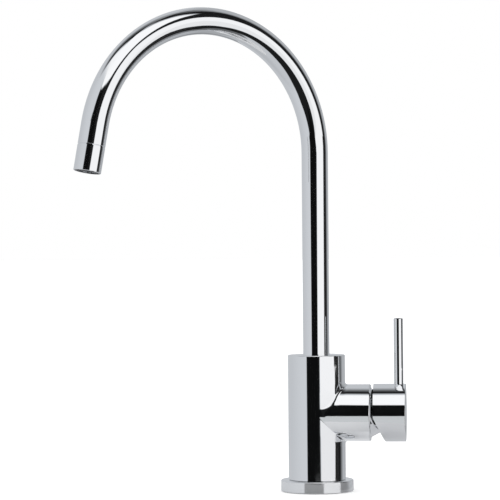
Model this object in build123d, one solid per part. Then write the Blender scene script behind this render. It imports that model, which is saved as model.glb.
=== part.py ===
from build123d import *
import os
from math import asin, cos, degrees, pi, radians, sin

# Three way filtered water tap, in millimetres. +Z is up and z = 0 is the face of the deck. The origin is
# on the axis of the body, the side branch runs along +X, and the user stands on the -Y side.
# It is shown shut, with the lever pin upright and the spout turned to the left of the user.

# How far a cut runs past the face it opens
past = 1.0

# Base ring and body
base_d = 60.5
base_h = 9.7
base_edge = 0.8
body_d = 47.6
body_top = 113.6
body_edge = 0.8
seam_edge = 0.5
foot_d = 40.4
foot_fit = 0.1
deck_hole_d = 35.0
base_seal_d = 52.0
base_seal_w = 4.0
base_seal_t = 1.6
base_seal_squeeze = 0.3

# Side branch
branch_d = 47.3
branch_z = 65.2
branch_edge = 1.4
branch_blend = 2.0

# Threads and waterways under the body, at their tapping sizes
port_circle_d = 21.0
hose_port_d = 9.0
filtered_port_d = 7.0
stud_hole_d = 6.8
port_depth = 12.0
stud_depth = 18.0
column_d = 15.2
waterway_d = 4.4
port_offset = 9.2
drill_past = 0.8
core_wall = 4.0
chamber_clear = 0.5
nipple_bore_past = 0.6

# Spout tube and its outlet
spout_d = 22.0
spout_wall = 1.2
bend_start_z = 282.1
bend_r = 105.4
bend_angle = 168.9
tail_run = 18.0
outlet_len = 21.0
spout_rest_angle = 218.0
joint_edge = 0.5
outlet_edge = 0.25

# Spout socket, from the water chamber up
spout_fit = 0.08
groove_depth = 1.8
land = 1.5
bush_h = 3.0
bush_slit = 1.5
bush_fit = 0.1
seal_section = 1.8
seal_room = 0.5
seal_fit = 0.03
lock_groove_h = 3.4
stop_clear = 2.0
swivel_low = -38.0
swivel_high = 142.0
ferrule_wall = 3.6
ferrule_spigot = 9.0
braze_gap = 0.05

# Lock screw at the back of the body
lock_screw_d = 5.0
lock_tip_d = 2.8
lock_tip_len = 3.0
lock_tip_clear = 0.3
lock_sunk = 1.0
screw_fit = 0.03

# Filtered water line inside the spout
line_d = 8.0
line_wall = 1.3
nipple_d = 10.0
nipple_collar_d = 12.6
nipple_collar_h = 1.8
nipple_clear = 0.2
nipple_land = 0.8
nipple_groove_depth = 1.5
nipple_groove_h = 1.8
nipple_seal_section = 1.4
line_fit = 0.05
barb_len = 12.0
barb_wall = 0.8

# Aerator
aerator_wall = 0.9
aerator_recess = 1.6
insert_len = 10.0
insert_wall = 1.1
insert_fit = 0.05
spider_t = 2.0
spider_set_in = 1.0
spider_hole_d = 2.6
spider_holes = 8
washer_t = 1.5
outlet_passage_d = 16.8
outlet_spigot = 7.0
nozzle_d = 6.2
nozzle_fit = 0.1
nozzle_set_in = 3.0
nozzle_shoulder_len = 2.0
mesh_t = 0.4
mesh_gap = 1.2
mesh_fit = 0.1
mesh_hole_d = 0.9
mesh_rings = 3

# Lever cap, pin and stem
cap_gap = 2.2
cap_d = 48.0
cap_len = 26.8
cap_wall = 2.2
cap_end_wall = 3.0
cap_edge = 0.5
notch_drop = 2.7
notch_angle = 24.9
hub_d = 16.0
hub_len = 9.0
post_d = 11.0
pin_d = 7.8
pin_along = 20.9
pin_top = 143.7
pin_sunk = 1.0
pin_thread_d = 6.0
pin_thread_len = 10.0
pin_thread_room = 0.5
pin_edge = 0.5
stem_side = 8.0
stem_fit = 0.05
stem_neck_d = 4.0
stem_ball_d = 6.0
stem_ball_arm = 8.0
stem_end_gap = 0.2
pivot_pin_d = 3.0
pivot_pin_fit = 0.01
pivot_pin_len = 24.0
cap_screw_d = 5.0
cap_screw_len = 8.0
plug_d = 6.0
plug_t = 1.6

# Cartridge in the branch
seat_wall = 2.9
cartridge_d = 35.0
cartridge_fit = 0.2
cartridge_wall = 2.0
port_plate_t = 3.5
port_spigot_t = 3.0
port_seal_d = 7.6
port_seal_t = 2.0
locator_d = 3.0
locator_len = 2.0
locator_r = 14.0
locator_turns = (45, 225)
locator_fit = 0.05
locator_room = 0.3
disc_t = 4.0
moving_disc_d = 26.0
disc_pocket_d = 15.0
disc_pocket_t = 2.4
disc_travel = 3.5
disc_gap = 0.02
carrier_t = 6.1
carrier_collar_d = 11.0
carrier_socket_fit = 0.25
carrier_socket_room = 1.0
carrier_clear = 0.2
carrier_collar_rise = 2.0
shoulder_back = 8.5
neck_rise = 4.5
neck_d = 29.0
neck_wall = 1.4
turret_fit = 0.1
turret_flange_t = 2.1
turret_set_in = 0.3
turret_slot_clear = 0.5
stem_slot_back = 3.0
stem_slot_front = 2.0
nut_d = 39.8
nut_set_in = 0.3
thread_fit = 0.1
nut_collar_d = 35.4
nut_collar_rise = 2.7
dome_rim_d = 40.8
dome_front_d = 30.2
dome_len = 10.0
dome_wall = 1.3
dome_edge = 1.17
dome_collar_gap = 0.2
dome_opening_d = 21.0

# Radii and places that follow from the sizes above
base_r = base_d / 2
body_r = body_d / 2
foot_r = foot_d / 2
branch_r = branch_d / 2
spout_r = spout_d / 2
spout_bore_r = spout_r - spout_wall
socket_r = spout_r + spout_fit
way_r = waterway_d / 2
port_r = port_circle_d / 2
cap_r = cap_d / 2
stem_half = stem_side / 2
line_r = line_d / 2
line_bore_r = line_r - line_wall
nipple_r = nipple_d / 2

cartridge_bore_r = cartridge_d / 2 + cartridge_fit
seat_x = socket_r + seat_wall
spigot_x = seat_x + port_plate_t
disc_x = spigot_x + port_spigot_t
carrier_x = disc_x + 2 * disc_t + disc_gap
carrier_end_x = carrier_x + carrier_t
flange_x = carrier_end_x + carrier_clear
shoulder_x = flange_x + turret_flange_t + turret_fit + cartridge_wall
pivot_x = shoulder_x + shoulder_back
ball_x = pivot_x - stem_ball_arm
cap_x = pivot_x
cap_end_x = cap_x + cap_len
pin_x = cap_x + pin_along
stem_end_x = cap_end_x - cap_end_wall - stem_end_gap
branch_reach = cap_x - cap_gap
core_top = branch_z - cartridge_bore_r - core_wall

mixed_z = branch_z + port_offset
chamber_floor = mixed_z - way_r - chamber_clear
ferrule_low = mixed_z + way_r + chamber_clear
lower_bush_z = ferrule_low + land
lower_seal_z = lower_bush_z + bush_h + land
seal_groove_h = seal_section + seal_room
upper_seal_z = lower_seal_z + seal_groove_h + land
lock_z = upper_seal_z + seal_groove_h + land
upper_bush_z = lock_z + lock_groove_h + land
tube_foot = upper_bush_z + bush_h + land
groove_r = spout_r - groove_depth
lock_screw_z = lock_z + lock_groove_h / 2

nipple_low = branch_z + way_r + nipple_clear
nipple_collar_z = chamber_floor + nipple_clear
line_foot = nipple_collar_z + nipple_collar_h

outlet_t = tail_run + outlet_len
insert_end_t = outlet_t - aerator_recess
insert_start_t = insert_end_t - insert_len
washer_start_t = insert_start_t - washer_t
aerator_bore_r = spout_r - aerator_wall
insert_r = aerator_bore_r - insert_fit
nozzle_shoulder_t = tail_run + nozzle_set_in

# The frames that pieces are drawn in. In the branch frame x is up, y is towards the user and z is
# outwards. In the tail frame z runs down the last straight of the spout, from the end of its bend.
branch_frame = Plane(origin=(0, 0, branch_z), x_dir=(0, 0, 1), z_dir=(1, 0, 0))
reach = Vector(cos(radians(spout_rest_angle)), sin(radians(spout_rest_angle)), 0)
across = reach.cross(Vector(0, 0, 1))
bend_end_reach = bend_r * (1 - cos(radians(bend_angle)))
bend_end_z = bend_start_z + bend_r * sin(radians(bend_angle))
tail_frame = Plane(
    origin=reach * bend_end_reach + Vector(0, 0, bend_end_z),
    x_dir=across,
    z_dir=reach * sin(radians(bend_angle)) + Vector(0, 0, cos(radians(bend_angle))),
)


def rod(radius, low, high):
    """A round bar along Z from low to high."""
    bar = Cylinder(radius, high - low, align=(Align.CENTER, Align.CENTER, Align.MIN))
    return Pos(0, 0, low) * bar


def ring(outer, inner, low, high):
    """A round bar with a bore."""
    return rod(outer, low, high) - rod(inner, low, high)


def block(x_low, x_high, y_half, z_low, z_high):
    """A box between two x and two z planes, equal on both sides of y = 0."""
    box = Box(x_high - x_low, 2 * y_half, z_high - z_low, align=(Align.MIN, Align.CENTER, Align.MIN))
    return Pos(x_low, 0, z_low) * box


def cone(low_r, high_r, low, high):
    """A round bar that tapers from low to high."""
    bar = Cone(low_r, high_r, high - low, align=(Align.CENTER, Align.CENTER, Align.MIN))
    return Pos(0, 0, low) * bar


def rim(shape, low_end=False):
    """The widest round edge at the top or the bottom of a piece."""
    level = shape.edges().filter_by(GeomType.CIRCLE).group_by(Axis.Z)[0 if low_end else -1]
    return level.sort_by(SortBy.RADIUS)[-1]


def joined(*shapes):
    """One solid from several that meet."""
    whole = shapes[0]
    for shape in shapes[1:]:
        whole = whole + shape
    return whole.clean()


def bent_pipe(outer, inner, foot, tail_end):
    """A pipe up the riser from foot, round the bend of the spout and down its tail."""
    section = Pos(0, 0, bend_start_z) * (Circle(outer) - Circle(inner))
    turn = Axis(reach * bend_r + Vector(0, 0, bend_start_z), across * -1)
    riser = ring(outer, inner, foot, bend_start_z)
    bend = revolve(section, turn, bend_angle)
    tail = tail_frame * ring(outer, inner, 0, tail_end)
    return joined(riser, bend, tail)


def o_ring(outer, section, middle_z):
    """A rubber ring of round section."""
    return Pos(0, 0, middle_z) * Torus(outer - section / 2, section / 2)


def column_places():
    """Where the hot, cold and filtered ports and the stud hole stand on the underside."""
    return {
        "hot": (0, port_r),
        "cold": (0, -port_r),
        "filtered": (-port_r, 0),
        "stud": (port_r, 0),
    }


def seat_ports():
    """The five waterways in the face that the cartridge seats on, in the branch frame."""
    return {
        "hot": (0, -port_offset),
        "cold": (0, port_offset),
        "mixed": (port_offset, 0),
        "filtered_in": (-port_offset, 0),
        "filtered_out": (0, 0),
    }


# The body casting: barrel, foot and branch outside, cored from below around four columns
def body_shell():
    barrel = rod(body_r, base_h, body_top)
    barrel = fillet(rim(barrel), body_edge)
    barrel = chamfer(rim(barrel, low_end=True), seam_edge)
    arm = rod(branch_r, 0, branch_reach)
    arm = branch_frame * fillet(rim(arm), branch_edge)
    shell = joined(barrel, arm)
    crossing = [
        edge
        for edge in shell.edges().filter_by(GeomType.CIRCLE, reverse=True)
        if edge.bounding_box().max.X > past and edge.length > branch_d
    ]
    if crossing:
        shell = fillet(crossing, branch_blend)
    return joined(shell, rod(foot_r, 0, base_h))


def body_core():
    hollow = rod(deck_hole_d / 2, 0, core_top)
    for x, y in column_places().values():
        hollow = hollow - Pos(x, y, 0) * rod(column_d / 2, 0, core_top)
    return hollow - rod(column_d / 2, 0, core_top)


def body_waterways():
    places = column_places()
    ways = []
    for name, bore in (("hot", hose_port_d), ("cold", hose_port_d), ("filtered", filtered_port_d)):
        x, y = places[name]
        top = branch_z - port_offset if name == "filtered" else branch_z
        ways.append(Pos(x, y, 0) * rod(bore / 2, 0, port_depth))
        ways.append(Pos(x, y, 0) * rod(way_r, 0, top + way_r + drill_past))
    ways.append(Pos(port_r, 0, 0) * rod(stud_hole_d / 2, 0, stud_depth))
    for name, (up, toward) in seat_ports().items():
        depth = -port_r if name == "filtered_in" else 0
        ways.append(branch_frame * (Pos(up, toward, 0) * rod(way_r, depth, seat_x)))
    return ways


def tap_body():
    cuts = body_waterways()
    cuts.append(rod(socket_r, chamber_floor, body_top))
    cuts.append(rod(nipple_r + line_fit, branch_z - way_r - nipple_bore_past, chamber_floor))
    cuts.append(branch_frame * rod(cartridge_bore_r, seat_x, branch_reach))
    cuts.append(branch_frame * rod(nut_d / 2 + thread_fit, shoulder_x, branch_reach))
    for turn in locator_turns:
        hole = rod(locator_d / 2 + locator_fit, seat_x - locator_len - locator_room, seat_x)
        cuts.append(branch_frame * (Rot(0, 0, turn) * Pos(locator_r, 0, 0) * hole))
    screw_hole = rod(lock_screw_d / 2, 0, body_r + past)
    cuts.append(Pos(0, 0, lock_screw_z) * Rot(-90, 0, 0) * screw_hole)
    return body_shell() - body_core() - cuts


def base_flange():
    flange = ring(base_r, foot_r + foot_fit, base_seal_squeeze, base_h)
    flange = fillet(rim(flange), base_edge)
    flange = chamfer(rim(flange, low_end=True), seam_edge)
    middle = base_seal_d / 2
    groove = ring(middle + base_seal_w / 2, middle - base_seal_w / 2, 0, base_seal_t)
    return flange - groove


def base_seal():
    middle = base_seal_d / 2
    half = base_seal_w / 2 - foot_fit
    return ring(middle + half, middle - half, 0, base_seal_t)


def spout_lock_screw():
    tip_end = groove_r + lock_tip_clear
    shank = rod(lock_screw_d / 2 - screw_fit, tip_end + lock_tip_len, body_r - lock_sunk)
    tip = rod(lock_tip_d / 2, tip_end, tip_end + lock_tip_len)
    socket_depth = lock_screw_d / 2
    socket = extrude(RegularPolygon(lock_screw_d / 4, 6), socket_depth)
    screw = joined(shank, tip) - Pos(0, 0, body_r - lock_sunk - socket_depth) * socket
    return Pos(0, 0, lock_screw_z) * Rot(-90, 0, 0) * screw


# The spout: tube, ferrule in its foot, bushes and seals
def spout_tube():
    pipe = bent_pipe(spout_r, spout_bore_r, tube_foot, tail_run)
    start = tail_run - joint_edge
    edge = rod(spout_r + past, start, tail_run) - cone(spout_r, spout_r - joint_edge, start, tail_run)
    return pipe - tail_frame * edge


def spout_ferrule():
    bore = spout_r - ferrule_wall
    ferrule = rod(spout_r - braze_gap, ferrule_low, tube_foot)
    ferrule = joined(ferrule, rod(spout_bore_r - braze_gap, tube_foot, tube_foot + ferrule_spigot))
    ferrule = ferrule - rod(bore, ferrule_low, tube_foot + ferrule_spigot)
    grooves = (
        (lower_bush_z, bush_h),
        (lower_seal_z, seal_groove_h),
        (upper_seal_z, seal_groove_h),
        (upper_bush_z, bush_h),
    )
    for low, height in grooves:
        ferrule = ferrule - ring(spout_r + past, groove_r, low, low + height)
    tip_angle = degrees(asin(lock_tip_d / 2 / groove_r)) + stop_clear
    start = 90 - swivel_high - tip_angle
    sweep_angle = swivel_high - swivel_low + 2 * tip_angle
    groove = Rectangle(groove_depth + past, lock_groove_h, align=(Align.MIN, Align.MIN))
    groove = Plane.XZ * (Pos(groove_r, lock_z) * groove)
    return ferrule - Rot(0, 0, start) * revolve(groove, Axis.Z, sweep_angle)


def spout_bush(low):
    bush = ring(spout_r + spout_fit / 2, groove_r + braze_gap, low + bush_fit, low + bush_h - bush_fit)
    slit = Pos(spout_r, 0, low) * Box(2 * groove_depth + past, bush_slit, 2 * bush_h)
    return bush - slit


def spout_seal(low):
    return o_ring(socket_r - seal_fit, seal_section, low + seal_groove_h / 2)


# The filtered water line: nipple, its seal, and the hose up through the spout
def filtered_nipple():
    barb_r = line_bore_r - braze_gap
    low = nipple_low + nipple_land
    body = rod(nipple_r, nipple_low, nipple_collar_z)
    body = joined(body, rod(nipple_collar_d / 2, nipple_collar_z, line_foot))
    body = joined(body, rod(barb_r, line_foot, line_foot + barb_len))
    groove = ring(nipple_r + past, nipple_r - nipple_groove_depth, low, low + nipple_groove_h)
    return body - groove - rod(barb_r - barb_wall, nipple_low, line_foot + barb_len)


def filtered_nipple_seal():
    middle = nipple_low + nipple_land + nipple_groove_h / 2
    return o_ring(nipple_r + line_fit - seal_fit, nipple_seal_section, middle)


def filtered_line():
    return bent_pipe(line_r, line_bore_r, line_foot, nozzle_shoulder_t)


# The outlet: housing on the end of the tube, aerator and nozzle inside it
def aerator_housing():
    collar = ring(spout_r, outlet_passage_d / 2, tail_run, outlet_t)
    collar = chamfer(rim(collar), outlet_edge)
    collar = chamfer(rim(collar, low_end=True), joint_edge)
    spigot = ring(spout_bore_r - braze_gap, outlet_passage_d / 2, tail_run - outlet_spigot, tail_run)
    housing = joined(collar, spigot) - rod(aerator_bore_r, washer_start_t, outlet_t)
    return tail_frame * housing


def aerator_washer():
    return tail_frame * ring(insert_r, outlet_passage_d / 2, washer_start_t, insert_start_t)


def aerator_insert():
    shell = ring(insert_r, insert_r - insert_wall, insert_start_t, insert_end_t)
    spider_low = insert_start_t + spider_set_in
    hub_r = nozzle_d / 2 + nozzle_fit
    spider = ring(insert_r - insert_wall, hub_r, spider_low, spider_low + spider_t)
    middle = (insert_r - insert_wall + hub_r) / 2
    for step in range(spider_holes):
        hole = Pos(middle, 0, 0) * rod(spider_hole_d / 2, spider_low, spider_low + spider_t)
        spider = spider - Rot(0, 0, step * 360 / spider_holes) * hole
    return tail_frame * joined(shell, spider)


def mesh_disc(low):
    disc_r = insert_r - insert_wall - mesh_fit
    hole_r = nozzle_d / 2 + nozzle_fit
    disc = ring(disc_r, hole_r, low, low + mesh_t)
    pitch = (disc_r - hole_r) / (mesh_rings + 1)
    holes = []
    for number in range(mesh_rings):
        radius = hole_r + pitch * (number + 1)
        count = int(2 * pi * radius / (2 * mesh_hole_d))
        for step in range(count):
            hole = Pos(radius, 0, 0) * rod(mesh_hole_d / 2, low, low + mesh_t)
            holes.append(Rot(0, 0, step * 360 / count) * hole)
    return disc - holes


def aerator_mesh():
    outer_low = insert_end_t - mesh_gap - mesh_t
    discs = [mesh_disc(outer_low), mesh_disc(outer_low - mesh_gap - mesh_t)]
    return Compound([tail_frame * disc for disc in discs])


def filtered_nozzle():
    barb_r = line_bore_r - braze_gap
    barb = rod(barb_r, nozzle_shoulder_t - barb_len, nozzle_shoulder_t)
    tip_t = nozzle_shoulder_t + nozzle_shoulder_len
    shoulder = rod(line_r, nozzle_shoulder_t, tip_t)
    spout_end = insert_end_t - mesh_gap / 2
    tip = rod(nozzle_d / 2, tip_t, spout_end)
    bore = rod(barb_r - barb_wall, nozzle_shoulder_t - barb_len, spout_end)
    return tail_frame * (joined(barb, shoulder, tip) - bore)


# The cartridge, from its seat in the body outwards
def cartridge_ports(radius, low, high):
    return [Pos(up, toward, 0) * rod(radius, low, high) for up, toward in seat_ports().values()]


def cartridge_base():
    plate = rod(cartridge_d / 2, seat_x, spigot_x)
    plate = joined(plate, rod(cartridge_d / 2 - cartridge_wall - braze_gap, spigot_x, disc_x))
    plate = plate - cartridge_ports(way_r, seat_x, disc_x)
    plate = plate - cartridge_ports(port_seal_d / 2 + braze_gap, seat_x, seat_x + port_seal_t)
    for turn in locator_turns:
        peg = rod(locator_d / 2, seat_x - locator_len, spigot_x)
        plate = joined(plate, Rot(0, 0, turn) * Pos(locator_r, 0, 0) * peg)
    return branch_frame * plate


def port_seals():
    rings = [
        Pos(up, toward, 0) * ring(port_seal_d / 2, way_r, seat_x + disc_gap, seat_x + port_seal_t)
        for up, toward in seat_ports().values()
    ]
    return Compound([branch_frame * seal for seal in rings])


def fixed_disc():
    disc = rod(cartridge_d / 2 - cartridge_wall - turret_fit, disc_x, disc_x + disc_t)
    return branch_frame * (disc - cartridge_ports(way_r, disc_x, disc_x + disc_t))


def moving_disc():
    low = disc_x + disc_t + disc_gap
    disc = rod(moving_disc_d / 2, low, low + disc_t) - rod(disc_pocket_d / 2, low, low + disc_pocket_t)
    return branch_frame * (Pos(-disc_travel / 2, 0, 0) * disc)


def disc_carrier():
    collar_end = ball_x + carrier_collar_rise
    puck = Pos(-disc_travel / 2, 0, 0) * rod(moving_disc_d / 2, carrier_x, carrier_end_x)
    collar = rod(carrier_collar_d / 2, carrier_end_x, collar_end)
    socket_low = ball_x - stem_ball_d / 2 - carrier_socket_room
    socket = rod(stem_ball_d / 2 + carrier_socket_fit, socket_low, collar_end)
    return branch_frame * (joined(puck, collar) - socket)


def cartridge_housing():
    outer = rod(cartridge_d / 2, spigot_x, shoulder_x)
    outer = joined(outer, rod(neck_d / 2, shoulder_x, pivot_x + neck_rise))
    cavity = rod(cartridge_d / 2 - cartridge_wall, spigot_x, shoulder_x - cartridge_wall)
    neck_bore = rod(neck_d / 2 - neck_wall, shoulder_x - cartridge_wall, pivot_x + neck_rise)
    return branch_frame * (outer - cavity - neck_bore)


def cartridge_turret():
    barrel_r = neck_d / 2 - neck_wall - turret_fit
    flange_r = cartridge_d / 2 - cartridge_wall - 3 * turret_fit
    flange_top = flange_x + turret_flange_t
    top = pivot_x + neck_rise - turret_set_in
    turret = joined(rod(flange_r, flange_x, flange_top), rod(barrel_r, flange_top, top))
    half = carrier_collar_d / 2 + turret_fit
    slot_low = -half - carrier_clear
    slot_high = half + disc_travel + carrier_clear
    slot_top = ball_x + carrier_collar_rise + turret_slot_clear
    turret = turret - block(slot_low, slot_high, half, flange_x, slot_top)
    slot_low = -stem_half - stem_slot_back
    slot_high = stem_half + stem_slot_front
    turret = turret - block(slot_low, slot_high, stem_half + turret_fit, slot_top, top)
    return branch_frame * (turret - pivot_bore(pivot_pin_d / 2, pivot_pin_len / 2))


def pivot_bore(radius, half_length):
    return Pos(0, 0, pivot_x) * Rot(90, 0, 0) * rod(radius, -half_length, half_length)


def stem_pivot_pin():
    return branch_frame * pivot_bore(pivot_pin_d / 2 - pivot_pin_fit, pivot_pin_len / 2)


def lever_stem():
    shank = block(-stem_half, stem_half, stem_half, pivot_x - stem_half, stem_end_x)
    neck = rod(stem_neck_d / 2, ball_x, pivot_x - stem_half)
    ball = Pos(0, 0, ball_x) * Sphere(stem_ball_d / 2)
    stem = joined(shank, neck, ball)
    return branch_frame * (stem - pivot_bore(pivot_pin_d / 2 + stem_fit, stem_side))


def cartridge_nut():
    top = branch_reach - nut_set_in
    bore = neck_d / 2 + cartridge_fit
    nut = ring(nut_d / 2, bore, shoulder_x, top)
    return branch_frame * joined(nut, ring(nut_collar_d / 2, bore, top, branch_reach + nut_collar_rise))


def dome_cover():
    front = branch_reach + dome_len
    rim_r = dome_rim_d / 2
    front_r = dome_front_d / 2
    outside = cone(rim_r, front_r, branch_reach, front)
    outside = fillet(rim_of_front(outside, front), dome_edge)
    collar_top = branch_reach + nut_collar_rise + dome_collar_gap
    inside = rod(nut_collar_d / 2 + screw_fit, branch_reach, collar_top)
    slope = (rim_r - front_r) / dome_len
    start_r = rim_r - slope * (collar_top - branch_reach) - 2 * dome_wall
    inside = joined(inside, cone(start_r, front_r - dome_wall, collar_top, front - dome_wall))
    return branch_frame * (outside - inside - rod(dome_opening_d / 2, front - dome_wall - past, front))


def rim_of_front(shape, height):
    edges = shape.edges().filter_by(GeomType.CIRCLE)
    return [edge for edge in edges if abs(edge.center().Z - height) < 0.01]


# The lever: cap with its hub, pin, screw and plug. In the branch frame x is up.
def lever_cap():
    shell = rod(cap_r, cap_x, cap_end_x)
    shell = fillet(rim(shell), cap_edge)
    inner_end = cap_end_x - cap_end_wall
    shell = shell - rod(cap_r - cap_wall, cap_x, inner_end)
    hub = rod(hub_d / 2, inner_end - hub_len, inner_end)
    pin_post = radial(post_d / 2, 0, cap_r - cap_wall / 2)
    screw_post = Rot(0, 0, 180) * radial(post_d / 2, 0, cap_r - cap_wall / 2)
    cap = joined(shell, hub, pin_post, screw_post)
    slack = stem_half + stem_fit
    cap = cap - block(-slack, slack, slack, cap_x, inner_end)
    seat = cap_r - pin_sunk
    cap = cap - radial(pin_d / 2 + stem_fit, seat, cap_r + past)
    cap = cap - radial(pin_thread_d / 2, seat - pin_thread_len - pin_thread_room, seat)
    cap = cap - Rot(0, 0, 180) * radial(cap_screw_d / 2, stem_half, cap_r + past)
    cap = cap - Rot(0, 0, 180) * radial(plug_d / 2 + stem_fit, cap_r - plug_t, cap_r + past)
    return branch_frame * (cap - notch())


def radial(radius, low, high):
    """A round bar square to the axis of the cap, upwards from it, at the place of the lever pin."""
    return Pos(0, 0, pin_x) * Rot(0, 90, 0) * rod(radius, low, high)


def notch():
    """The wedge cut from the lower half of the cap, so that it can tilt."""
    wedge = block(-cap_d, 0, cap_r + past, -cap_d, 0)
    return Pos(-notch_drop, 0, cap_x) * Rot(0, notch_angle, 0) * wedge


def lever_pin():
    seat = cap_r - pin_sunk
    height = pin_top - branch_z
    bar = rod(pin_d / 2, seat, height)
    bar = chamfer(rim(bar), pin_edge)
    bar = joined(bar, rod(pin_thread_d / 2 - screw_fit, seat - pin_thread_len, seat))
    return branch_frame * (Pos(0, 0, pin_x) * Rot(0, 90, 0) * bar)


def cap_grub_screw():
    low = stem_half + stem_fit
    screw = rod(cap_screw_d / 2 - screw_fit, low, low + cap_screw_len)
    socket_depth = cap_screw_d / 2
    socket = extrude(RegularPolygon(cap_screw_d / 4, 6), socket_depth)
    screw = screw - Pos(0, 0, low + cap_screw_len - socket_depth) * socket
    return branch_frame * (Pos(0, 0, pin_x) * Rot(0, -90, 0) * screw)


def screw_plug():
    plug = Rot(0, 0, 180) * radial(plug_d / 2, cap_r - plug_t, cap_r + past)
    return branch_frame * (plug & rod(cap_r, cap_x, cap_end_x))


pieces = {
    "tap_body": tap_body(),
    "base_flange": base_flange(),
    "base_seal": base_seal(),
    "spout_lock_screw": spout_lock_screw(),
    "spout_tube": spout_tube(),
    "spout_ferrule": spout_ferrule(),
    "lower_spout_bush": spout_bush(lower_bush_z),
    "upper_spout_bush": spout_bush(upper_bush_z),
    "lower_spout_seal": spout_seal(lower_seal_z),
    "upper_spout_seal": spout_seal(upper_seal_z),
    "filtered_nipple": filtered_nipple(),
    "filtered_nipple_seal": filtered_nipple_seal(),
    "filtered_line": filtered_line(),
    "aerator_housing": aerator_housing(),
    "aerator_washer": aerator_washer(),
    "aerator_insert": aerator_insert(),
    "aerator_mesh": aerator_mesh(),
    "filtered_nozzle": filtered_nozzle(),
    "cartridge_base": cartridge_base(),
    "port_seals": port_seals(),
    "fixed_disc": fixed_disc(),
    "moving_disc": moving_disc(),
    "disc_carrier": disc_carrier(),
    "cartridge_housing": cartridge_housing(),
    "cartridge_turret": cartridge_turret(),
    "stem_pivot_pin": stem_pivot_pin(),
    "lever_stem": lever_stem(),
    "cartridge_nut": cartridge_nut(),
    "dome_cover": dome_cover(),
    "lever_cap": lever_cap(),
    "lever_pin": lever_pin(),
    "cap_grub_screw": cap_grub_screw(),
    "screw_plug": screw_plug(),
}

os.makedirs("parts", exist_ok=True)
for name, shape in pieces.items():
    export_step(shape, f"parts/{name}.step")
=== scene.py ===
from math import cos, hypot, pi, radians, sin

import bpy
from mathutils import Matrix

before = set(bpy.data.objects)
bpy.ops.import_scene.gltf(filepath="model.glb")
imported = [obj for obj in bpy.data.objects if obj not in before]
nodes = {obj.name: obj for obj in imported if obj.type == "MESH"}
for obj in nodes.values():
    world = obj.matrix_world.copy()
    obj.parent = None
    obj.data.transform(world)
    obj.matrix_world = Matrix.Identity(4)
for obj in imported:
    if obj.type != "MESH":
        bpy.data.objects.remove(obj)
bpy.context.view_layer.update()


# Body: one brass casting with the barrel, the foot and the side branch, turned where pieces seat,
# then polished and chrome plated outside. The polishing wheel has rubbed the crossing of barrel
# and branch soft, and the cored pocket and the machined bores keep the bare metal of the casting.
def material(name, color, roughness, metallic=0.0):
    """A plain shader that the finish of one material starts from."""
    made = bpy.data.materials.new(name)
    made.use_nodes = True
    shader = made.node_tree.nodes["Principled BSDF"]
    shader.inputs["Base Color"].default_value = (*color, 1)
    shader.inputs["Roughness"].default_value = roughness
    shader.inputs["Metallic"].default_value = metallic
    return made, made.node_tree, shader


def place(tree):
    """The piece's own coordinates, in metres."""
    return tree.nodes.new("ShaderNodeTexCoord").outputs["Object"]


def axes(tree, vector):
    """The coordinates X, Y and Z of a vector."""
    apart = tree.nodes.new("ShaderNodeSeparateXYZ")
    tree.links.new(vector, apart.inputs["Vector"])
    return apart.outputs


def feed(tree, socket, value):
    """Gives a socket its number or vector, or links what another node gives to it."""
    if isinstance(value, (int, float, tuple)):
        socket.default_value = value
    else:
        tree.links.new(value, socket)


def maths(tree, operation, *values):
    """One step of arithmetic on numbers or on what other nodes give."""
    step = tree.nodes.new("ShaderNodeMath")
    step.operation = operation
    for socket, value in zip(step.inputs, values):
        feed(tree, socket, value)
    return step.outputs["Value"]


def vectors(tree, operation, *values):
    """One step of arithmetic on vectors, which gives a vector, a length or a product."""
    step = tree.nodes.new("ShaderNodeVectorMath")
    step.operation = operation
    for socket, value in zip(step.inputs, values):
        feed(tree, socket, value)
    return step.outputs["Value" if operation in ("LENGTH", "DOT_PRODUCT") else "Vector"]


def ramp(tree, value, low, high, low_result=0.0, high_result=1.0):
    """A smooth change from one result to another while the value goes from low to high."""
    step = tree.nodes.new("ShaderNodeMapRange")
    step.interpolation_type = "SMOOTHSTEP"
    numbers = {"Value": value, "From Min": low, "From Max": high,
               "To Min": low_result, "To Max": high_result}
    for socket, number in numbers.items():
        feed(tree, step.inputs[socket], number)
    return step.outputs["Result"]


def overlap(tree, *shares):
    """Where all of these shares hold at once."""
    both = shares[0]
    for share in shares[1:]:
        both = maths(tree, "MULTIPLY", both, share)
    return both


def mixed(tree, share, under, over, kind="FLOAT"):
    """A blend of two numbers, colours or vectors."""
    mix = tree.nodes.new("ShaderNodeMix")
    mix.data_type = kind
    live = [socket for socket in mix.inputs if socket.enabled]
    for socket, value in zip(live, (share, under, over)):
        color = kind == "RGBA" and isinstance(value, tuple)
        feed(tree, socket, (*value, 1) if color else value)
    return [socket for socket in mix.outputs if socket.enabled][0]


def grain(tree, size, detail=3.0, stretch=(1, 1, 1)):
    """A noise with spots of about that size in metres, drawn out where the stretch is small."""
    noise = tree.nodes.new("ShaderNodeTexNoise")
    noise.inputs["Scale"].default_value = 0.5 / size
    noise.inputs["Detail"].default_value = detail
    tree.links.new(vectors(tree, "MULTIPLY", place(tree), stretch), noise.inputs["Vector"])
    return noise.outputs["Fac"]


def spread(tree, noise, low=0.0, high=1.0):
    """The middle of a noise spread between two results."""
    return ramp(tree, noise, 0.3, 0.7, low, high)


def bumps(tree, shader, height, depth, normal=None):
    """Unevenness of the surface, as deep as the depth in metres."""
    bump = tree.nodes.new("ShaderNodeBump")
    bump.inputs["Distance"].default_value = depth
    bump.inputs["Strength"].default_value = 1.0
    tree.links.new(height, bump.inputs["Height"])
    if normal is not None:
        tree.links.new(normal, bump.inputs["Normal"])
    tree.links.new(bump.outputs["Normal"], shader.inputs["Normal"])


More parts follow.
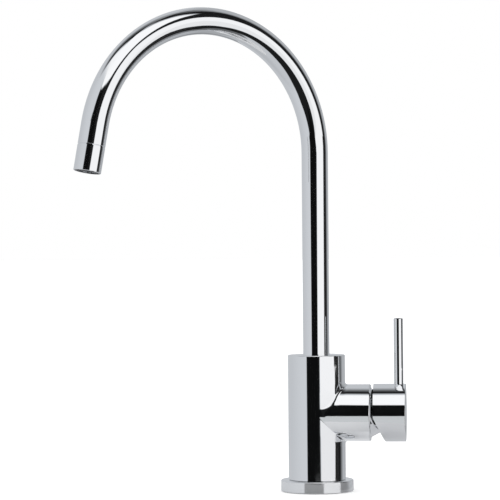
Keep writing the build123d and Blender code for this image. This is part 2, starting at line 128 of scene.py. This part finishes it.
def finish(made, *names):
    """Gives the CAD nodes a material in place of their plain one."""
    for name in names:
        nodes[name].data.materials.clear()
        nodes[name].data.materials.append(made)


chrome_color = (0.925, 0.93, 0.94)
# A painted shade for the seam where the body meets the base ring.
painted_seam_shade = (0.2, 0.2, 0.2)
cast_dark, cast_light = (0.5, 0.34, 0.15), (0.71, 0.52, 0.24)
barrel_r, branch_r = 0.0238, 0.02365
branch_z = 0.0652        # the height of the branch's axis

made, tree, shader = material("plated_body", chrome_color, 0.04, 1.0)
parts = axes(tree, place(tree))
height = maths(tree, "SUBTRACT", parts["Z"], branch_z)
from_barrel = vectors(tree, "MULTIPLY", place(tree), (1, 1, 0))
from_branch = vectors(tree, "SUBTRACT", place(tree), (0, 0, branch_z))
from_branch = vectors(tree, "MULTIPLY", from_branch, (0, 1, 1))
off_barrel = maths(tree, "SUBTRACT", vectors(tree, "LENGTH", from_barrel), barrel_r)
off_branch = maths(tree, "SUBTRACT", vectors(tree, "LENGTH", from_branch), branch_r)

# The crossing line runs where a point is as far out of the barrel as of the branch. Above the axis
# the rubbed edge lies up to 2 mm further along the branch, and the surface turns there in two
# bends. Below the axis the edge is crisp, and beside it the lower corner follows the branch.
lead = maths(tree, "SUBTRACT", off_barrel, off_branch)
rise = ramp(tree, height, 0.002, 0.008, 0.0, 0.0021)
fall = ramp(tree, height, 0.01, 0.018, 0.0, 0.0011)
off_ridge = maths(tree, "SUBTRACT", lead, maths(tree, "SUBTRACT", rise, fall))
outer_bend = maths(tree, "MULTIPLY", ramp(tree, off_ridge, 0.0008, 0.0018), 0.5)
rubbed = maths(tree, "MULTIPLY_ADD", ramp(tree, off_ridge, -0.0014, 0.0006), 0.5, outer_bend)
crisp = ramp(tree, lead, -0.0002, 0.0002)
toward_branch = mixed(tree, ramp(tree, height, -0.004, -0.001), crisp, rubbed)
off_bottom = ramp(tree, height, -0.0235, -0.0225)
beside_barrel = ramp(tree, parts["X"], 0.0161, 0.0173)
lower_half = maths(tree, "LESS_THAN", height, 0.0)
lower_corner = overlap(tree, off_bottom, beside_barrel, lower_half)
toward_branch = maths(tree, "MAXIMUM", toward_branch, lower_corner)

# The surface takes this soft way only near the crossing, outside, and on the branch's side.
barrel_way = vectors(tree, "NORMALIZE", from_barrel)
branch_way = vectors(tree, "NORMALIZE", from_branch)
soft_way = mixed(tree, toward_branch, barrel_way, branch_way, "VECTOR")
soft_way = vectors(tree, "NORMALIZE", soft_way)
near_crossing = ramp(tree, maths(tree, "ABSOLUTE", lead), 0.005, 0.007, 1.0, 0.0)
branch_side = ramp(tree, parts["X"], -0.0005, 0.003)
outside = ramp(tree, off_barrel, -0.002, -0.001)
zone = overlap(tree, near_crossing, branch_side, outside)
facing = tree.nodes.new("ShaderNodeNewGeometry").outputs["Normal"]
way = vectors(tree, "NORMALIZE", mixed(tree, zone, facing, soft_way, "VECTOR"))

# Bare metal: inside the barrel below its mouth, and inside the branch beyond the barrel's core.
# The plate is darker in the seam on the base ring, a painted shade where the body sits in the ring.
in_barrel = ramp(tree, off_barrel, -0.0058, -0.0056, 1.0, 0.0)
below_mouth = ramp(tree, parts["Z"], 0.0995, 0.1, 1.0, 0.0)
in_branch = ramp(tree, off_branch, -0.0036, -0.0034, 1.0, 0.0)
past_core = ramp(tree, parts["X"], 0.011, 0.012)
bare = overlap(tree, in_barrel, below_mouth)
bare = maths(tree, "MAXIMUM", bare, overlap(tree, in_branch, past_core))
# Painted shade in the seam: the plate is darker below the top of the base ring.
above_seam = ramp(tree, parts["Z"], 0.0098, 0.0103, 0.45, 1.0)
plate_and_seam_shade = mixed(tree, above_seam, painted_seam_shade, chrome_color, "RGBA")
cast = mixed(tree, spread(tree, grain(tree, 0.002)), cast_dark, cast_light, "RGBA")
tree.links.new(mixed(tree, bare, plate_and_seam_shade, cast, "RGBA"), shader.inputs["Base Color"])
haze = spread(tree, grain(tree, 0.009), 0.025, 0.06)
sandy = spread(tree, grain(tree, 0.0008), 0.34, 0.5)
tree.links.new(mixed(tree, bare, haze, sandy), shader.inputs["Roughness"])
sand = maths(tree, "MULTIPLY", grain(tree, 0.0004), 9.0)
ripple = mixed(tree, bare, grain(tree, 0.0055, 1.0), sand)
bumps(tree, shader, ripple, 0.000006, way)
finish(made, "tap_body")


# Base ring: turned from brass bar, plated the same way, and held down by the body's foot. Its black
# rubber ring lies in a groove underneath and keeps splashed water out of the deck hole.
def plated(name, polish, haze, ripple, depth=0.000005, stretch=(1, 1, 1)):
    """Chrome plate with a faint haze in patches, from one roughness to another, and the slight
    ripple that polishing leaves."""
    made, tree, shader = material(name, chrome_color, polish, 1.0)
    patch, low, high = haze
    patches = spread(tree, grain(tree, patch, 3.0, stretch), low, high)
    tree.links.new(patches, shader.inputs["Roughness"])
    bumps(tree, shader, grain(tree, ripple, 1.0), depth)
    return made


finish(plated("plated_base_ring", 0.04, (0.009, 0.03, 0.065), 0.0055), "base_flange")

rubber, tree, shader = material("black_rubber", (0.035, 0.035, 0.038), 0.6)
rubber_black, rubber_grey = (0.028, 0.028, 0.03), (0.055, 0.055, 0.058)
shader.inputs["Specular IOR Level"].default_value = 0.35
bloom = mixed(tree, spread(tree, grain(tree, 0.0025)), rubber_black, rubber_grey, "RGBA")
tree.links.new(bloom, shader.inputs["Base Color"])
tree.links.new(spread(tree, grain(tree, 0.0012), 0.52, 0.72), shader.inputs["Roughness"])
bumps(tree, shader, grain(tree, 0.0002, 2.0), 0.00002)
finish(rubber, "base_seal")


# Spout ferrule: turned brass, brazed into the foot of the spout. Its grooves hold the bushes and
# the seals, and a part-turn groove takes the tip of the lock screw. The lathe leaves fine rings.
def turned(name, color, axis, low, high, pitch=0.0002):
    """Bare metal with the fine rings that a lathe leaves round the axis, and a faint stain."""
    made, tree, shader = material(name, color, (low + high) / 2, 1.0)
    rings = tree.nodes.new("ShaderNodeTexNoise")
    rings.noise_dimensions = "1D"
    rings.inputs["Scale"].default_value = 0.5 / pitch
    rings.inputs["Detail"].default_value = 2.0
    tree.links.new(vectors(tree, "DOT_PRODUCT", place(tree), axis), rings.inputs["W"])
    dull = tuple(0.82 * part for part in color)
    stain = mixed(tree, spread(tree, grain(tree, 0.003)), dull, color, "RGBA")
    tree.links.new(stain, shader.inputs["Base Color"])
    tree.links.new(spread(tree, rings.outputs["Fac"], low, high), shader.inputs["Roughness"])
    bumps(tree, shader, rings.outputs["Fac"], 0.000012)
    return made


brass = (0.78, 0.60, 0.31)
upright_brass = turned("turned_brass", brass, (0, 0, 1), 0.16, 0.32)
finish(upright_brass, "spout_ferrule")


# Spout bushes: two split rings of natural acetal, sprung into the ferrule's grooves, that carry
# the spout in the body. Moulded acetal is milky, with a faint flow pattern and a waxy shine.
def moulded(name, color, low, high, fleck=0.9):
    """Moulded plastic: a spark-eroded texture and a faint unevenness of colour from the flow."""
    made, tree, shader = material(name, color, (low + high) / 2)
    shader.inputs["Specular IOR Level"].default_value = 0.45
    darker = tuple(fleck * part for part in color)
    streaks = grain(tree, 0.004, 2.0, (1, 1, 0.4))
    flow = mixed(tree, spread(tree, streaks), darker, color, "RGBA")
    tree.links.new(flow, shader.inputs["Base Color"])
    tree.links.new(spread(tree, grain(tree, 0.0015), low, high), shader.inputs["Roughness"])
    bumps(tree, shader, grain(tree, 0.00015, 2.0), 0.000015)
    return made


acetal = moulded("natural_acetal", (0.86, 0.86, 0.82), 0.28, 0.42, 0.95)
shader = acetal.node_tree.nodes["Principled BSDF"]
shader.inputs["Subsurface Weight"].default_value = 0.15
shader.inputs["Subsurface Scale"].default_value = 0.001
finish(acetal, "lower_spout_bush", "upper_spout_bush")


# O-rings of the spout and of the nipple: moulded rubber of the same kind as the base seal, greased
# and squeezed between their grooves and the bores they turn in.
greased, tree, shader = material("greased_rubber", (0.03, 0.03, 0.033), 0.3)
wet_black, wet_grey = (0.022, 0.022, 0.024), (0.045, 0.045, 0.048)
shader.inputs["Coat Weight"].default_value = 0.4
shader.inputs["Coat Roughness"].default_value = 0.12
smear = mixed(tree, spread(tree, grain(tree, 0.002)), wet_black, wet_grey, "RGBA")
tree.links.new(smear, shader.inputs["Base Color"])
tree.links.new(spread(tree, grain(tree, 0.001), 0.26, 0.5), shader.inputs["Roughness"])
bumps(tree, shader, grain(tree, 0.0006, 1.0), 0.00001)
finish(greased, "lower_spout_seal", "upper_spout_seal", "filtered_nipple_seal")


# Filtered water line: a food-grade hose from the turned brass nipple at the foot of the spout to
# the nozzle in the outlet, pushed over their barbs. Extruded, milky, with faint lines along it.
finish(upright_brass, "filtered_nipple")
hose, tree, shader = material("milky_hose", (0.84, 0.87, 0.89), 0.35)
hose_dim, hose_pale = (0.78, 0.82, 0.85), (0.87, 0.89, 0.9)
shader.inputs["Subsurface Weight"].default_value = 0.3
shader.inputs["Subsurface Scale"].default_value = 0.002
milk = mixed(tree, spread(tree, grain(tree, 0.006)), hose_dim, hose_pale, "RGBA")
tree.links.new(milk, shader.inputs["Base Color"])
drawn = grain(tree, 0.0006, 2.0, (1, 1, 0.05))
tree.links.new(spread(tree, drawn, 0.26, 0.42), shader.inputs["Roughness"])
bumps(tree, shader, drawn, 0.000015)
finish(hose, "filtered_line")


# Spout: 22 mm brass tube bent in one sweep, polished along its length before it was plated, and
# the outlet housing that is brazed on its end, with a fine groove round the joint.
long_polish = plated("plated_spout", 0.03, (0.012, 0.02, 0.05), 0.007, stretch=(1, 1, 0.6))
finish(long_polish, "spout_tube", "aerator_housing")


# Aerator: a grey acetal insert screwed into the housing on a rubber washer, with two stainless
# meshes and the turned stainless nozzle of the filtered line in the middle of it.
finish(rubber, "aerator_washer")
finish(moulded("grey_acetal", (0.2, 0.203, 0.21), 0.32, 0.5, 0.8), "aerator_insert")

steel = (0.60, 0.61, 0.63)
spout_turn, tail_lean = radians(218), radians(168.9)
tail_x, tail_y = cos(spout_turn) * sin(tail_lean), sin(spout_turn) * sin(tail_lean)
tail_way = (tail_x, tail_y, cos(tail_lean))
finish(turned("turned_steel_nozzle", steel, tail_way, 0.16, 0.32), "filtered_nozzle")

mesh, tree, shader = material("woven_mesh", (0.58, 0.59, 0.61), 0.3, 1.0)
# The openings between the wires are painted dark, a painted shade seen through the mesh.
painted_shade_between_wires, wire_top = (0.2, 0.2, 0.21), (0.66, 0.67, 0.69)
wires = []
for direction in ("X", "Y"):
    wire = tree.nodes.new("ShaderNodeTexWave")
    wire.bands_direction = direction
    wire.inputs["Scale"].default_value = 900.0
    tree.links.new(place(tree), wire.inputs["Vector"])
    wires.append(wire.outputs["Fac"])
weave = maths(tree, "MAXIMUM", *wires)
woven_and_shaded = mixed(tree, weave, painted_shade_between_wires, wire_top, "RGBA")
tree.links.new(woven_and_shaded, shader.inputs["Base Color"])
tree.links.new(ramp(tree, weave, 0.0, 1.0, 0.45, 0.22), shader.inputs["Roughness"])
bumps(tree, shader, weave, 0.00008)
finish(mesh, "aerator_mesh")


# Lock screw: a stainless socket screw in the back of the barrel, with a tip turned down to run in
# the ferrule's groove, which holds the spout down and stops its turn.
finish(turned("turned_steel", steel, (0, 1, 0), 0.2, 0.36), "spout_lock_screw")


# Cartridge: a 35 mm plastic housing snapped over its base, two lapped ceramic discs that shut the
# ports, and a dark carrier and turret that the stem moves them with. The seals under the base are
# pressed on the body's seat by a brass nut.
grey_plastic = moulded("grey_plastic", (0.80, 0.81, 0.80), 0.38, 0.55)
finish(grey_plastic, "cartridge_base", "cartridge_housing")
finish(rubber, "port_seals")

ceramic, tree, shader = material("lapped_alumina", (0.92, 0.92, 0.89), 0.15)
fired_dim, fired_pale = (0.88, 0.88, 0.85), (0.94, 0.94, 0.92)
shader.inputs["Specular IOR Level"].default_value = 0.7
fired = mixed(tree, spread(tree, grain(tree, 0.0005, 4.0)), fired_dim, fired_pale, "RGBA")
tree.links.new(fired, shader.inputs["Base Color"])
tree.links.new(spread(tree, grain(tree, 0.0012), 0.1, 0.2), shader.inputs["Roughness"])
bumps(tree, shader, grain(tree, 0.0001, 2.0), 0.000002)
finish(ceramic, "fixed_disc", "moving_disc")

dark_acetal = moulded("dark_acetal", (0.19, 0.20, 0.22), 0.3, 0.46, 0.85)
finish(dark_acetal, "disc_carrier", "cartridge_turret")
finish(turned("ground_steel", steel, (0, 1, 0), 0.12, 0.22, 0.0001), "stem_pivot_pin")
outward_brass = turned("turned_brass_branch", brass, (1, 0, 0), 0.16, 0.32)
finish(outward_brass, "cartridge_nut")


# Dome cover: a thin spun brass cone over the nut, plated, which shows in the gap behind the cap and
# through the wedge under it. Its haze runs along the branch.
spun = plated("plated_dome", 0.05, (0.004, 0.035, 0.08), 0.003, 0.000004, (0.3, 1, 1))
finish(spun, "dome_cover")


# Lever: a deep turned cap on the brass stem of the cartridge, held by a grub screw under it whose
# hole has a plated plug, and a slender pin screwed into the top of the cap to turn and tilt it.
finish(outward_brass, "lever_stem")
plated_lever = plated("plated_lever", 0.035, (0.007, 0.022, 0.055), 0.005)
finish(plated_lever, "lever_cap", "lever_pin", "screw_plug")
finish(turned("turned_screw_steel", steel, (0, 0, 1), 0.2, 0.36), "cap_grub_screw")


# Floor: a pale painted table that the camera sees a little brighter than it is lit. The chrome
# doesn't mirror it, and takes its light from the lower half of the studio.
bpy.ops.object.select_all(action="DESELECT")
bpy.ops.mesh.primitive_plane_add(size=60, location=(0, 0, -0.00005))
floor = bpy.context.object
floor.name = "floor"
floor.visible_glossy = False
made, tree, shader = material("floor_paint", (0.8, 0.8, 0.8), 0.6)
shader.inputs["Specular IOR Level"].default_value = 0.2
camera_ray = tree.nodes.new("ShaderNodeLightPath").outputs["Is Camera Ray"]
tree.links.new(maths(tree, "MULTIPLY", camera_ray, 0.45), shader.inputs["Emission Strength"])
shader.inputs["Emission Color"].default_value = (1, 1, 1, 1)
floor.data.materials.append(made)


# Stand: a glossy round disc under the tap that shows in the reflections alone. It gives the base
# ring and the undersides their tone. Its paint is darker towards the lever, a painted shadow of the
# tap, and palest under the branch, a painted pool of light.
def mirrored_only(thing):
    """Leaves a piece of the stage to the reflections, with no light or shadow of its own."""
    thing.visible_camera = False
    thing.visible_diffuse = False
    thing.visible_shadow = False


bpy.ops.mesh.primitive_circle_add(vertices=96, radius=0.118, fill_type="NGON",
                                  location=(0, 0, -0.00003))
stand = bpy.context.object
stand.name = "stand_top"
mirrored_only(stand)
made, tree, shader = material("stand_paint", (0.72, 0.73, 0.74), 0.12)
tree.links.new(spread(tree, grain(tree, 0.02), 0.1, 0.14), shader.inputs["Roughness"])
# Painted shadow of the tap towards the lever, and a painted pool of light under the branch.
stand_grey, lever_shadow_grey, branch_light_pale = (0.72, 0.73, 0.745), (0.61, 0.62, 0.64), (0.86, 0.87, 0.89)
parts = axes(tree, place(tree))
paint_shade_and_light = mixed(tree, ramp(tree, parts["X"], 0.02, 0.06), stand_grey, lever_shadow_grey, "RGBA")
past_barrel = ramp(tree, parts["X"], 0.015, 0.02)
behind_edge = ramp(tree, parts["Y"], -0.035, -0.02)
before_cap = ramp(tree, parts["X"], 0.045, 0.055, 1.0, 0.0)
under_branch_light = overlap(tree, past_barrel, behind_edge, before_cap)
paint_shade_and_light = mixed(tree, under_branch_light, paint_shade_and_light, branch_light_pale, "RGBA")
tree.links.new(paint_shade_and_light, shader.inputs["Base Color"])
stand.data.materials.append(made)


# Table glow: light from the near part of the table, which the underside of the branch, the cap and
# the dome mirror. A sheet that sinks away to the front and adds its light to what is behind it.
def sheet(name, corners):
    """A flat sheet with these four corners, which only reflections show."""
    bpy.ops.mesh.primitive_plane_add(size=1, location=(0, 0, 0))
    made = bpy.context.object
    made.name = name
    for vertex, corner in zip(made.data.vertices, corners):
        vertex.co = corner
    mirrored_only(made)
    return made


near_y, far_y, far_z = -0.0612, -0.7, -0.06
near_edge = ((-0.01, near_y, 0), (0.12, near_y, 0))
far_edge = ((-0.06, far_y, far_z), (0.07, far_y, far_z))
glow = sheet("table_glow", near_edge + far_edge)
lit = bpy.data.collections.new("lit_by_table")
for name in ("tap_body", "lever_cap", "dome_cover"):
    lit.objects.link(nodes[name])
glow.light_linking.receiver_collection = lit
made = bpy.data.materials.new("table_light")
made.use_nodes = True
tree = made.node_tree
tree.nodes.remove(tree.nodes["Principled BSDF"])
emission = tree.nodes.new("ShaderNodeEmission")
emission.inputs["Color"].default_value = (0.945, 0.98, 1.0, 1)
strength = ramp(tree, axes(tree, place(tree))["Y"], near_y, near_y - 0.005, 0.0, 0.6)
tree.links.new(strength, emission.inputs["Strength"])
see_through = tree.nodes.new("ShaderNodeBsdfTransparent")
added = tree.nodes.new("ShaderNodeAddShader")
tree.links.new(emission.outputs["Emission"], added.inputs[0])
tree.links.new(see_through.outputs["BSDF"], added.inputs[1])
tree.links.new(added.outputs["Shader"], tree.nodes["Material Output"].inputs["Surface"])
glow.data.materials.append(made)


# Side flags: two pieces of black cloth on a rail to the right, one over the other, that draw the
# dark line near the right edge of the riser and of the barrel. Each has corners in Y and Z.
cloth, tree, shader = material("flag_cloth", (0.012, 0.012, 0.012), 0.9)
tree.links.new(spread(tree, grain(tree, 0.001), 0.8, 1.0), shader.inputs["Roughness"])
flag_x = 0.65
lower_flag = ((-0.13, -0.2), (0.12, -0.2), (-0.1, 0.07), (0.12, 0.07))
upper_flag = ((-0.15, 0.072), (0.12, 0.072), (-0.07, 0.34), (0.12, 0.34))
for corners in (lower_flag, upper_flag):
    flag = sheet("side_flag", [(flag_x, y, z) for y, z in corners])
    flag.data.materials.append(cloth)


# Studio: soft white light from all round for the table, and for the chrome the grey walls, white
# sheets and black cloth of a product studio, with a tall window of light at the right. Azimuths
# count from the front to the right.
world = bpy.data.worlds.new("studio")
world.use_nodes = True
bpy.context.scene.world = world
tree = world.node_tree
background = tree.nodes["Background"]
background.inputs["Color"].default_value = (1, 1, 1, 1)
look = axes(tree, tree.nodes.new("ShaderNodeTexCoord").outputs["Generated"])
in_degrees = 180 / pi
forward = maths(tree, "MULTIPLY", look["Y"], -1.0)
azimuth = maths(tree, "MULTIPLY", maths(tree, "ARCTAN2", look["X"], forward), in_degrees)
elevation = maths(tree, "MULTIPLY", maths(tree, "ARCSINE", look["Z"]), in_degrees)


def card(under, shade, corners, soft=1.5):
    """A flat card of one shade in front of what is under it. Its corners are azimuths and
    elevations, anticlockwise as seen from the tap. They and its soft edge are in degrees."""
    edges = []
    for (a, b), (c, d) in zip(corners, corners[1:] + corners[:1]):
        length = hypot(c - a, d - b)
        offset = (a * (d - b) - b * (c - a)) / length
        sideways = maths(tree, "MULTIPLY_ADD", azimuth, -(d - b) / length, offset)
        inward = maths(tree, "MULTIPLY_ADD", elevation, (c - a) / length, sideways)
        edges.append(ramp(tree, inward, -soft, soft))
    return mixed(tree, overlap(tree, *edges), under, shade)


left_wall = ramp(tree, azimuth, -130, -40, 0.58, 0.66)
right_wall = ramp(tree, azimuth, 116, 134, 0.15, 0.46)
tone = mixed(tree, ramp(tree, azimuth, 60, 70), left_wall, right_wall)
tone = maths(tree, "MULTIPLY", tone, ramp(tree, elevation, -52, -40, 0.9, 1.0))

# A darker patch low in the back, between the walls.
back = maths(tree, "GREATER_THAN", maths(tree, "ABSOLUTE", azimuth), 165.0)
off_floor = ramp(tree, elevation, -48, -36)
below_level = ramp(tree, elevation, -30, -4, 0.7, 0.0)
tone = mixed(tree, overlap(tree, back, off_floor, below_level), tone, 0.2)

front_cloth = ((-37.5, -30), (-18, -48), (19.4, -57), (65.4, -55), (113.3, -49.3),
               (113.9, 84.8), (-15.4, 78.4), (-21.2, 40.7), (-31, -9.6))
front_sheet = ((-13, 35.6), (27.2, 27.8), (85.9, 52.7), (85.3, 82.5), (-39, 76.5))
left_sheet = ((-145, 65.9), (-10, 45.5), (-20, 76), (-117, 77.4))
black_board = ((-35.5, -9.1), (10.7, -22.8), (9.8, 32.4), (-7.6, 31.2), (-38.8, 11.6))
tall_window = ((11.3, -4), (31.8, -15.1), (66, -39.8), (86, -32.6), (91.5, -1), (84.9, 22.1),
               (42, 26.6), (25.9, 8.1), (14, -1))
tone = card(tone, 0.012, front_cloth)
tone = card(tone, 1.03, front_sheet)
tone = card(tone, 0.99, left_sheet, soft=5.8)
tone = card(tone, 0.0045, black_board)
tone = card(tone, ramp(tree, elevation, -4.1, -3.5, 0.86, 0.97), tall_window)

# The ceiling behind the sheets: black over the tap and paler towards the back.
paler = mixed(tree, ramp(tree, look["Y"], 0.0, 0.966), 0.008, 1.0)
ceiling = maths(tree, "MINIMUM", paler, maths(tree, "MINIMUM", tone, 0.62))
behind = ramp(tree, look["Y"], -0.18, -0.01)
overhead = ramp(tree, elevation, 40, 54)
left_of_wall = ramp(tree, look["X"], 0.78, 1.0, 1.0, 0.0)
tone = mixed(tree, overlap(tree, behind, overhead, left_of_wall), tone, ceiling)

# Grey light is a little cooler than white light.
cool_grey, near_white = (0.945, 0.98, 1.026), (0.985, 0.99, 1.0)
tint = mixed(tree, ramp(tree, tone, 0.67, 0.9), cool_grey, near_white, "RGBA")
glossy_ray = tree.nodes.new("ShaderNodeLightPath").outputs["Is Glossy Ray"]
tree.links.new(mixed(tree, glossy_ray, 1.0, tone), background.inputs["Strength"])
tree.links.new(mixed(tree, glossy_ray, (1.0, 1.0, 1.0), tint, "RGBA"), background.inputs["Color"])


# Camera: where the photograph was taken from, two metres off to the front, level with the middle of
# the tap and a little to its right. A long lens looks slightly left, back to the tap.
camera = bpy.data.cameras.new("camera")
camera.lens = 174.1
camera.shift_x = 0.013
camera.shift_y = -0.011
camera_object = bpy.data.objects.new("camera", camera)
bpy.context.scene.collection.objects.link(camera_object)
camera_object.location = (0.1336, -2.0135, 0.206)
camera_object.rotation_euler = (radians(90), radians(0.48), radians(5.5))
bpy.context.scene.camera = camera_object
bpy.context.scene.view_settings.view_transform = "Standard"
